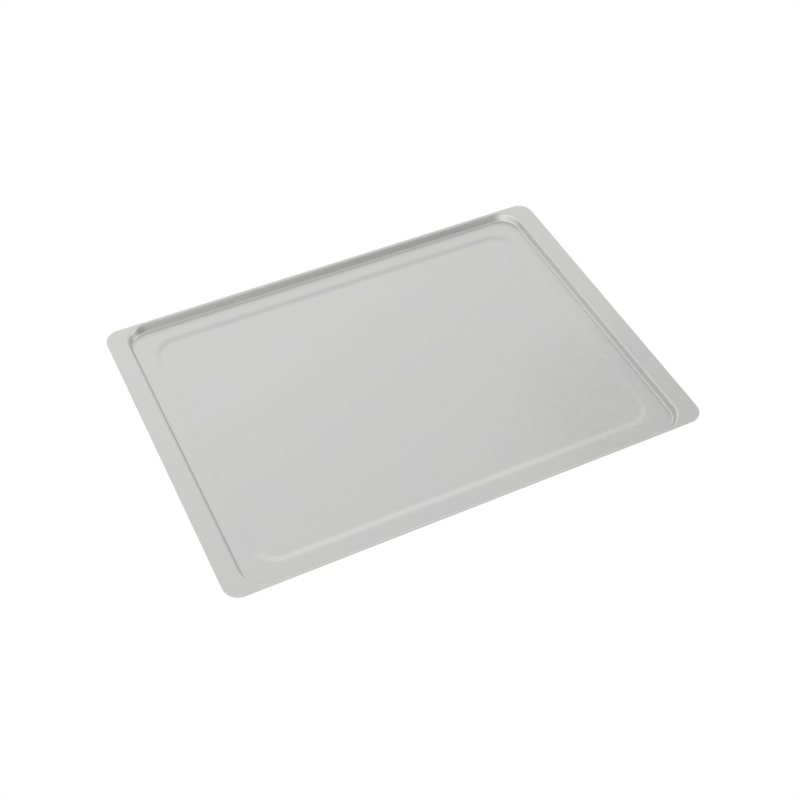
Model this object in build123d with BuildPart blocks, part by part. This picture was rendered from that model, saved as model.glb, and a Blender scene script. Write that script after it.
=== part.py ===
"""Baking tray for a compact convection oven, drawn from one aluminium sheet. Sizes in millimetres.

X runs along the long side, Y from front to back and Z up. The origin lies under the middle of the tray,
on the plane that the tray rests on.
"""
from build123d import *
import os
from math import asin, atan, degrees, hypot, radians, sin, tan

# Overall size
tray_length = 460.0  # along X, over the two runners
tray_width = 330.0  # along Y, over the two lips
tray_height = 9.5  # from the resting plane to the top of the rim
sheet = 1.2  # thickness, the same everywhere

# Rim
rim_corner_radius = 14.5  # seen from above
edge_round = 0.3  # the sheared edge with its burr taken off
runner_width = 17.0  # flat strip along each short side, from the edge to the bend
lip_width = 1.6  # flat strip along each long side, from the edge to the bend

# Bowl
mouth_corner_radius = 22.0  # seen from above, where the rim and the wall would meet without their bend
wall_angle = 72.0  # wall against the floor, in degrees
rim_bend_radius = 1.0  # under the rim, on the inside of the bend
foot_bend_radius = 1.2  # in the bowl, on the inside of the bend

# Floor: a ledge along the wall, and the panel one soft step below it
end_ledge = 12.3  # level floor along each short side, from the wall's bend to the ramp
side_ledge = 14.8  # level floor along each long side
panel_corner_radius = 24.5  # seen from above, at the brow of the ramp
panel_drop = 1.0  # depth of the panel under the ledge
ramp_run = 9.2  # level distance from the ledge to the panel
ramp_rounding = 0.8  # part of the ramp's slope that its two rounds take up

# A bend ends at this many radii from the line where its two flats would meet
bend_reach = tan(radians(wall_angle / 2))
rim_outer_radius = rim_bend_radius + sheet

# Bowl without its bends
bowl_depth = tray_height - sheet - panel_drop
wall_run = bowl_depth / tan(radians(wall_angle))
mouth_length = tray_length - 2 * (runner_width + rim_outer_radius * bend_reach)
mouth_width = tray_width - 2 * (lip_width + rim_outer_radius * bend_reach)

# The ramp's angle and its rounds follow from its drop and run
ramp_slope = ramp_run / panel_drop
ramp_angle = degrees(atan(1 / ramp_slope) + asin(ramp_rounding / hypot(ramp_slope, 1)))
ramp_reach = ramp_rounding * panel_drop / sin(radians(ramp_angle)) / 2
ramp_radius = ramp_reach / tan(radians(ramp_angle / 2))

# Brow of the ramp without its round
ledge_inset = wall_run + foot_bend_radius * bend_reach
brow_length = mouth_length - 2 * (ledge_inset + end_ledge + ramp_reach)
brow_width = mouth_width - 2 * (ledge_inset + side_ledge + ramp_reach)

# The sheet's upper face is shaped on a solid block, and the block is then hollowed out from below
block_height = tray_height + 2 * sheet
level_tolerance = 0.001


def flats(part):
    """The level faces of the block, from the highest down: rim, ledge, panel, underside."""
    return part.faces().filter_by(Axis.Z).sort_by(Axis.Z, reverse=True)


with BuildPart() as baking_tray:
    # Block with the rim's outline
    with BuildSketch(Plane.XY.offset(tray_height)):
        RectangleRounded(tray_length, tray_width, rim_corner_radius)
    extrude(amount=-block_height)

    # Bowl with its sloping wall
    with BuildSketch(Plane.XY.offset(tray_height)):
        RectangleRounded(mouth_length, mouth_width, mouth_corner_radius)
    extrude(amount=-bowl_depth, taper=90 - wall_angle, mode=Mode.SUBTRACT)

    # Panel, sunk into the bowl's floor with a gentle ramp around it
    with BuildSketch(Plane.XY.offset(sheet + panel_drop)):
        RectangleRounded(brow_length, brow_width, panel_corner_radius)
    extrude(amount=-panel_drop, taper=90 - ramp_angle, mode=Mode.SUBTRACT)

    # Bends of the upper face
    fillet(flats(baking_tray)[0].inner_wires().edges(), rim_outer_radius)
    fillet(flats(baking_tray)[1].outer_wire().edges(), foot_bend_radius)
    fillet(flats(baking_tray)[1].inner_wires().edges(), ramp_radius)
    fillet(flats(baking_tray)[2].outer_wire().edges(), ramp_radius)

    # One sheet of even thickness, open at the block's sides and underside
    block_sides = baking_tray.faces().filter_by(lambda face: face.bounding_box().size.Z > tray_height)
    offset(amount=-sheet, openings=[*block_sides, flats(baking_tray)[-1]])

    # Burr taken off the sheared edge, above and below
    sheared = baking_tray.faces().filter_by(lambda face: abs(face.normal_at().Z) < level_tolerance)
    level_edges = sheared.edges().filter_by(lambda edge: abs(edge.tangent_at(0.5).Z) < level_tolerance)
    fillet(level_edges, min(edge_round, sheet / 3))

baking_tray.part.label = "baking_tray"
os.makedirs("parts", exist_ok=True)
export_step(baking_tray.part, "parts/baking_tray.step")
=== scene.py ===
"""Looks of the baking tray: a finely meshed drawn sheet, its satin aluminium and a plain studio."""
import math

import bpy
import numpy as np
from mathutils import Matrix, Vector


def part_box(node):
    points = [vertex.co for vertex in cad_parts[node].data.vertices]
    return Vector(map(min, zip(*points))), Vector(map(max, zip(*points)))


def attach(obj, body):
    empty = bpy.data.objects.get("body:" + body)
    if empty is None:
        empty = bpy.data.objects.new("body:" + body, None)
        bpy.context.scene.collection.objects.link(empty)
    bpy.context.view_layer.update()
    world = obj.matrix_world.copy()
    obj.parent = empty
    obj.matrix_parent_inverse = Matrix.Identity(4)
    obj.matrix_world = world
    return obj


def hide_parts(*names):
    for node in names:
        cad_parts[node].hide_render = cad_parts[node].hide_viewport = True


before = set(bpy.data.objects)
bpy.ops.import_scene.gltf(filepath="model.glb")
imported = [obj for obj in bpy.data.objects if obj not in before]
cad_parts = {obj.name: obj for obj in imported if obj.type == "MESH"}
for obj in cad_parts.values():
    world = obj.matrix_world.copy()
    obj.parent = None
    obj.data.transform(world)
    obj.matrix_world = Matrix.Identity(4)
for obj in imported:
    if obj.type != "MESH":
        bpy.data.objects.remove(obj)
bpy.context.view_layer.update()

MM = 0.001

# Size of the tray, from the frame, in millimetres
low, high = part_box("baking_tray")
tray_length, tray_width, tray_height = (high - low) / MM

# Section of the sheet in millimetres, from the CAD model. The bends are as soft as the photograph shows
# them, and the flats beside them are narrower to match.
sheet = 1.2
rim_corner_radius = 14.5
edge_round = 0.3
runner_width = 16.6
lip_width = 1.2
mouth_corner_radius = 22.0
wall_angle = math.radians(72)
rim_bend_radius = 1.6
foot_bend_radius = 1.6
end_ledge = 12.0
side_ledge = 14.5
panel_corner_radius = 24.5
panel_drop = 1.0
ramp_run = 9.2
ramp_rounding = 0.8

# Metal: its colours, the range of its roughness, and the height of its grain in metres
cool_metal = (0.690, 0.690, 0.690)
warm_metal = (0.693, 0.693, 0.678)
# The darker metal serves both the specks and the painted shade towards the front right corner
speck_and_shade_metal = (0.57, 0.56, 0.565)
sheen = (0.28, 0.30)
grain_height = 4e-6

# Noise in the metal: waves to a metre and detail, with the rolling lines drawn out along X. Most noise
# lies in the noise range. The specks have a range of their own and go a share of the way to the darker
# metal.
cloud_noise = (16, 3)
speck_noise = (700, 2)
line_noise = (1500, 2)
mottle_noise = (170, 5)
line_stretch = (0.03, 1, 1)
noise_range = (0.35, 0.65)
speck_range = (0.4, 0.8)
speck_share = 0.1

# Painted shade towards the front right corner, as a mottled patch of darker, slightly rougher metal: its
# place and reach in metres, how much of it the mottling leaves at least, how far its colour goes to the
# darker metal, and how much rougher it is
shade_patch_place = (0.190, -0.130, 0.002)
shade_patch_radius = 0.17
shade_patch_core = 0.2 * shade_patch_radius
mottle_least = 0.55
shade_patch_share = 0.405
shade_patch_roughness = 0.03

# Studio: the light of the white tent, and its spots by azimuth from the back over the right, elevation,
# tightness and light. A gap in the tent takes light away.
tent_light = 1.095
tent_spots = {
    "open front": (140, 22, 4.5, -0.75),
    "camera opening": (165, 58, 8, -0.22),
    "window": (108, 30, 16, 1.20),
    "high gap": (50, 68, 10, -0.29),
    "right shade": (75, 40, 6, -0.22),
    "low right gap": (90, 2, 9, -0.58),
    "back left gap": (313, 0, 16, -0.34),
    "low back gap": (15, 5, 16, -0.20),
    "back right gap": (47, 0, 16, -0.21),
    "top seam": (325, 52, 16, -0.30),
    "low front glow": (208, 0, 16, 0.40),
    "top light": (104, 72, 24, 0.25),
}

# Half of the table's side, in metres
table_half = 4.0

# Camera, found from the corners of the rim. The angles are in degrees, the lens and the sensor in
# millimetres and the place in metres.
camera_azimuth = 27.0085
camera_elevation = 48.2328
camera_roll = 1.2753
camera_lens = 58.7254
camera_sensor = 36.0
camera_place = (-0.37037, -0.73365, 0.89492)

# Fineness of the mesh. The rings across a level strip lie closer together beside its bends.
corner_steps = 20
long_steps = 64
short_steps = 46
bend_steps = 10
ramp_steps = 6
edge_angles = np.radians([0, 30, 60, 90])
strip_shares = (0.02, 0.12, 0.3, 0.5, 0.7, 0.88, 0.98)

# Steps along the panel's sides, from corner middle to corner middle
panel_across = long_steps + corner_steps
panel_along = short_steps + corner_steps

# Lines that follow from the section
bend_reach = math.tan(wall_angle / 2)
rim_outer_radius = rim_bend_radius + sheet
rim_reach = rim_outer_radius * bend_reach
ledge_level = sheet + panel_drop
bowl_depth = tray_height - ledge_level
wall_run = bowl_depth / math.tan(wall_angle)
ledge_inset = wall_run + foot_bend_radius * bend_reach
ramp_slope = ramp_run / panel_drop
ramp_angle = math.atan(1 / ramp_slope) + math.asin(ramp_rounding / math.hypot(ramp_slope, 1))
ramp_reach = ramp_rounding * panel_drop / math.sin(ramp_angle) / 2
ramp_radius = ramp_reach / math.tan(ramp_angle / 2)
panel_inset = panel_drop / math.tan(ramp_angle) + ramp_reach
mouth_length = tray_length - 2 * (runner_width + rim_reach)
mouth_width = tray_width - 2 * (lip_width + rim_reach)
brow_length = mouth_length - 2 * (ledge_inset + end_ledge + ramp_reach)
brow_width = mouth_width - 2 * (ledge_inset + side_ledge + ramp_reach)


def ring_course():
    """For each point of a ring, from the middle of the front left corner round to the right: where its
    corner arc is centred, as a share of the reach in X and Y, and the way that the ring faces there."""
    corners = np.array([(-1, -1), (1, -1), (1, 1), (-1, 1)])
    half = corner_steps // 2
    centres = []
    facings = []
    for side, steps in enumerate((long_steps, short_steps, long_steps, short_steps)):
        share = np.concatenate([np.zeros(half), np.linspace(0, 1, steps + 1), np.ones(half - 1)])
        turn = np.concatenate([np.linspace(-45, 0, half + 1)[:-1], np.zeros(steps + 1),
                               np.linspace(0, 45, half + 1)[1:-1]])
        start = corners[side]
        end = corners[(side + 1) % 4]
        centres.append(start + share[:, None] * (end - start))
        facings.append(np.radians(270 + 90 * side + turn))
    facing = np.concatenate(facings)
    return np.concatenate(centres), np.stack([np.cos(facing), np.sin(facing)], axis=1)


centre_share, outward = ring_course()


def ring(length, width, radius, inset=0.0):
    """A rounded rectangle seen from above, moved inwards by inset. Points match from ring to ring."""
    reach = np.array([length / 2 - radius, width / 2 - radius])
    return centre_share * reach + (radius - inset) * outward


class Sheet:
    """The sheet's upper and under face, as rings from the rim to the panel."""

    def __init__(self):
        self.upper = []
        self.under = []

    def add(self, points, height, tilt=0.0):
        """One ring of the upper face, whose normal leans inwards by tilt, and the ring under it."""
        level = np.full((len(points), 1), height)
        normal = np.hstack([-math.sin(tilt) * outward, np.full((len(points), 1), math.cos(tilt))])
        self.upper.append(np.hstack([points, level]))
        self.under.append(self.upper[-1] - sheet * normal)

    def add_flat(self, start, end, height):
        """Rings across a level strip."""
        for share in strip_shares:
            self.add(start + share * (end - start), height)


def tray_rings():
    """All rings of the tray, from the sheared edge of the rim to the edge of the panel."""
    rim = (tray_length, tray_width, rim_corner_radius)
    mouth = (mouth_length, mouth_width, mouth_corner_radius)
    brow = (brow_length, brow_width, panel_corner_radius)
    body = Sheet()
    for angle in edge_angles:
        points = ring(*rim, edge_round * (1 - math.cos(angle)))
        drop = edge_round * (1 - math.sin(angle))
        body.upper.append(np.insert(points, 2, tray_height - drop, axis=1))
        body.under.append(np.insert(points, 2, tray_height - sheet + drop, axis=1))
    body.add_flat(ring(*rim, edge_round), ring(*mouth, -rim_reach), tray_height)
    for tilt in np.linspace(0, wall_angle, bend_steps + 1):
        inset = -rim_reach + rim_outer_radius * math.sin(tilt)
        body.add(ring(*mouth, inset), tray_height - rim_outer_radius * (1 - math.cos(tilt)), tilt)
    for tilt in np.linspace(wall_angle, 0, bend_steps + 1):
        inset = ledge_inset - foot_bend_radius * math.sin(tilt)
        body.add(ring(*mouth, inset), ledge_level + foot_bend_radius * (1 - math.cos(tilt)), tilt)
    body.add_flat(ring(*mouth, ledge_inset), ring(*brow, -ramp_reach), ledge_level)
    for slope in np.linspace(0, ramp_angle, ramp_steps + 1):
        inset = -ramp_reach + ramp_radius * math.sin(slope)
        body.add(ring(*brow, inset), ledge_level - ramp_radius * (1 - math.cos(slope)), slope)
    for slope in np.linspace(ramp_angle, 0, ramp_steps + 1):
        inset = panel_inset - ramp_radius * math.sin(slope)
        body.add(ring(*brow, inset), sheet + ramp_radius * (1 - math.cos(slope)), slope)
    return body


def ring_sides(values):
    """A ring's values on its front, right, back and left side, from left to right or front to back."""
    back_right = panel_across + panel_along
    back_left = back_right + panel_across
    front = values[:panel_across + 1]
    right = values[panel_across:back_right + 1]
    back = values[back_right:back_left + 1][::-1]
    left = np.concatenate([values[back_left:], values[:1]])[::-1]
    return front, right, back, left


def panel_grid(edge):
    """A grid of points inside a ring, whose corners are the middles of the ring's round corners."""
    front, right, back, left = ring_sides(edge)
    u = np.linspace(0, 1, panel_across + 1)[None, :, None]
    v = np.linspace(0, 1, panel_along + 1)[:, None, None]
    sides = (1 - v) * front[None] + v * back[None] + (1 - u) * left[:, None] + u * right[:, None]
    corners = ((1 - u) * (1 - v) * front[0] + u * (1 - v) * front[-1]
               + (1 - u) * v * back[0] + u * v * back[-1])
    return sides - corners


def panel_ids(edge_ids, first_new):
    """Numbers of the grid's points: the ring's own along its border, and new ones where inside is true."""
    ids = np.full((panel_along + 1, panel_across + 1), -1)
    ids[0, :], ids[:, -1], ids[-1, :], ids[:, 0] = ring_sides(edge_ids)
    inside = ids < 0
    ids[inside] = first_new + np.arange(inside.sum())
    return ids, inside


def tray_mesh():
    """One closed mesh of the sheet: rings joined by quads, and a grid over and under the panel."""
    body = tray_rings()
    rings = body.under[::-1] + body.upper
    points = np.vstack(rings)
    count = len(outward)
    start = np.arange(count)
    step = np.roll(start, -1)
    faces = []
    for row in range(len(rings) - 1):
        this = row * count
        after = this + count
        faces += np.stack([this + start, this + step, after + step, after + start], axis=1).tolist()
    for edge_row, facing_up in ((len(rings) - 1, True), (0, False)):
        ids, inside = panel_ids(edge_row * count + start, len(points))
        points = np.vstack([points, panel_grid(rings[edge_row])[inside]])
        quads = np.stack([ids[:-1, :-1], ids[:-1, 1:], ids[1:, 1:], ids[1:, :-1]], axis=-1).reshape(-1, 4)
        faces += (quads if facing_up else quads[:, ::-1]).tolist()
    mesh = bpy.data.meshes.new("baking_tray_sheet")
    mesh.from_pydata((points * MM).tolist(), [], faces)
    mesh.shade_smooth()
    return mesh


def noise(tree, place, waves, detail):
    """Cloudy noise around 0.5, with so many waves to a metre."""
    node = tree.nodes.new("ShaderNodeTexNoise")
    node.inputs["Scale"].default_value = waves
    node.inputs["Detail"].default_value = detail
    tree.links.new(place, node.inputs["Vector"])
    return node.outputs["Fac"]


def spread(tree, value, start, end, low, high):
    """The value, softly carried over from the range start to end to the range low to high."""
    node = tree.nodes.new("ShaderNodeMapRange")
    node.interpolation_type = "SMOOTHSTEP"
    for name, limit in (("From Min", start), ("From Max", end), ("To Min", low), ("To Max", high)):
        node.inputs[name].default_value = limit
    tree.links.new(value, node.inputs["Value"])
    return node.outputs["Result"]


def combine(tree, operation, first, second):
    """Two values added or multiplied."""
    node = tree.nodes.new("ShaderNodeMath")
    node.operation = operation
    tree.links.new(first, node.inputs[0])
    tree.links.new(second, node.inputs[1])
    return node.outputs["Value"]


def blend(tree, share, first, second):
    """A colour between two, each given as a colour or as a socket."""
    node = tree.nodes.new("ShaderNodeMix")
    node.data_type = "RGBA"
    tree.links.new(share, node.inputs["Factor"])
    # The node's sockets for colours come after those for numbers and vectors
    for socket, colour in ((node.inputs[6], first), (node.inputs[7], second)):
        if isinstance(colour, tuple):
            socket.default_value = (*colour, 1)
        else:
            tree.links.new(colour, socket)
    return node.outputs[2]


def painted_shade_patch(tree, place):
    """The mottled patch of painted shade towards the front right corner, from 0 to 1."""
    reach = tree.nodes.new("ShaderNodeVectorMath")
    reach.operation = "DISTANCE"
    tree.links.new(place, reach.inputs[0])
    reach.inputs[1].default_value = shade_patch_place
    near = spread(tree, reach.outputs["Value"], shade_patch_core, shade_patch_radius, 1, 0)
    mottling = spread(tree, noise(tree, place, *mottle_noise), *noise_range, mottle_least, 1)
    return combine(tree, "MULTIPLY", near, mottling)


def satin_aluminium():
    """Bare rolled aluminium: a dull sheen with faint clouds, fine specks, rolling lines along X, and
    painted shade in a mottled patch towards the front right corner.
    """
    material = bpy.data.materials.new("satin_aluminium")
    material.use_nodes = True
    tree = material.node_tree
    shader = tree.nodes["Principled BSDF"]
    shader.inputs["Metallic"].default_value = 1.0
    place = tree.nodes.new("ShaderNodeTexCoord").outputs["Object"]
    along = tree.nodes.new("ShaderNodeMapping")
    along.inputs["Scale"].default_value = line_stretch
    tree.links.new(place, along.inputs["Vector"])
    lines = noise(tree, along.outputs["Vector"], *line_noise)
    specks = noise(tree, place, *speck_noise)
    clouds = noise(tree, place, *cloud_noise)
    shade_mask = painted_shade_patch(tree, place)

    metal = blend(tree, spread(tree, clouds, *noise_range, 0, 1), cool_metal, warm_metal)
    speckled = blend(tree, spread(tree, specks, *speck_range, 0, speck_share), metal, speck_and_shade_metal)
    # Painted shade: the metal goes part of the way to the darker metal in the mottled patch towards the
    # front right corner
    with_painted_shade = blend(tree, spread(tree, shade_mask, 0, 1, 0, shade_patch_share), speckled, speck_and_shade_metal)
    tree.links.new(with_painted_shade, shader.inputs["Base Color"])

    clouded = spread(tree, clouds, *noise_range, *sheen)
    # The patch of painted shade is also a little rougher
    roughness = combine(tree, "ADD", clouded, spread(tree, shade_mask, 0, 1, 0, shade_patch_roughness))
    tree.links.new(roughness, shader.inputs["Roughness"])

    bump = tree.nodes.new("ShaderNodeBump")
    bump.inputs["Distance"].default_value = grain_height
    tree.links.new(combine(tree, "ADD", lines, specks), bump.inputs["Height"])
    tree.links.new(bump.outputs["Normal"], shader.inputs["Normal"])
    return material


def make_tray():
    """The tray, in place of its CAD node."""
    tray = bpy.data.objects.new("tray_sheet", tray_mesh())
    bpy.context.scene.collection.objects.link(tray)
    tray.data.materials.append(satin_aluminium())
    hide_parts("baking_tray")
    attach(tray, "root")


def make_floor():
    """A white table that glows evenly, as a light table does."""
    mesh = bpy.data.meshes.new("floor")
    corners = [(x * table_half, y * table_half, 0) for x, y in ((-1, -1), (1, -1), (1, 1), (-1, 1))]
    mesh.from_pydata(corners, [], [(0, 1, 2, 3)])
    floor = bpy.data.objects.new("floor", mesh)
    bpy.context.scene.collection.objects.link(floor)
    material = bpy.data.materials.new("white_table")
    material.use_nodes = True
    shader = material.node_tree.nodes["Principled BSDF"]
    shader.inputs["Base Color"].default_value = (0, 0, 0, 1)
    shader.inputs["Specular IOR Level"].default_value = 0.0
    shader.inputs["Emission Color"].default_value = (1, 1, 1, 1)
    shader.inputs["Emission Strength"].default_value = 1.0
    floor.data.materials.append(material)


def tent_spot(tree, way, azimuth, elevation, tightness):
    """How much of a spot is seen in each direction: 1 in its middle, and fading away from there."""
    turn = math.radians(azimuth)
    rise = math.radians(elevation)
    facing = tree.nodes.new("ShaderNodeVectorMath")
    facing.operation = "DOT_PRODUCT"
    facing.inputs[1].default_value = (
        math.cos(rise) * math.sin(turn), math.cos(rise) * math.cos(turn), math.sin(rise))
    tree.links.new(way, facing.inputs[0])
    fall = tree.nodes.new("ShaderNodeMath")
    fall.operation = "MULTIPLY_ADD"
    fall.inputs[1].default_value = tightness
    fall.inputs[2].default_value = -tightness
    tree.links.new(facing.outputs["Value"], fall.inputs[0])
    glow = tree.nodes.new("ShaderNodeMath")
    glow.operation = "EXPONENT"
    tree.links.new(fall.outputs["Value"], glow.inputs[0])
    return glow.outputs["Value"]


def make_light():
    """A white tent of even light, with the spots in it where it is darker or brighter."""
    world = bpy.data.worlds.new("studio")
    world.use_nodes = True
    tree = world.node_tree
    way = tree.nodes.new("ShaderNodeTexCoord").outputs["Generated"]
    total = None
    for azimuth, elevation, tightness, strength in tent_spots.values():
        added = tree.nodes.new("ShaderNodeMath")
        added.operation = "MULTIPLY_ADD"
        tree.links.new(tent_spot(tree, way, azimuth, elevation, tightness), added.inputs[0])
        added.inputs[1].default_value = strength
        if total is None:
            added.inputs[2].default_value = tent_light
        else:
            tree.links.new(total, added.inputs[2])
        total = added.outputs["Value"]
    background = tree.nodes["Background"]
    background.inputs["Color"].default_value = (1, 1, 1, 1)
    tree.links.new(total, background.inputs["Strength"])
    bpy.context.scene.world = world


def make_camera():
    """The photograph's viewpoint."""
    camera = bpy.data.objects.new("camera", bpy.data.cameras.new("camera"))
    camera.data.sensor_width = camera_sensor
    camera.data.lens = camera_lens
    turn = Matrix.Rotation(math.radians(-camera_azimuth), 4, "Z")
    tip = Matrix.Rotation(math.radians(90 - camera_elevation), 4, "X")
    roll = Matrix.Rotation(math.radians(camera_roll), 4, "Z")
    camera.matrix_world = Matrix.Translation(camera_place) @ turn @ tip @ roll
    bpy.context.scene.collection.objects.link(camera)
    bpy.context.scene.camera = camera


make_tray()
make_floor()
make_light()
make_camera()
bpy.context.scene.view_settings.view_transform = "Standard"
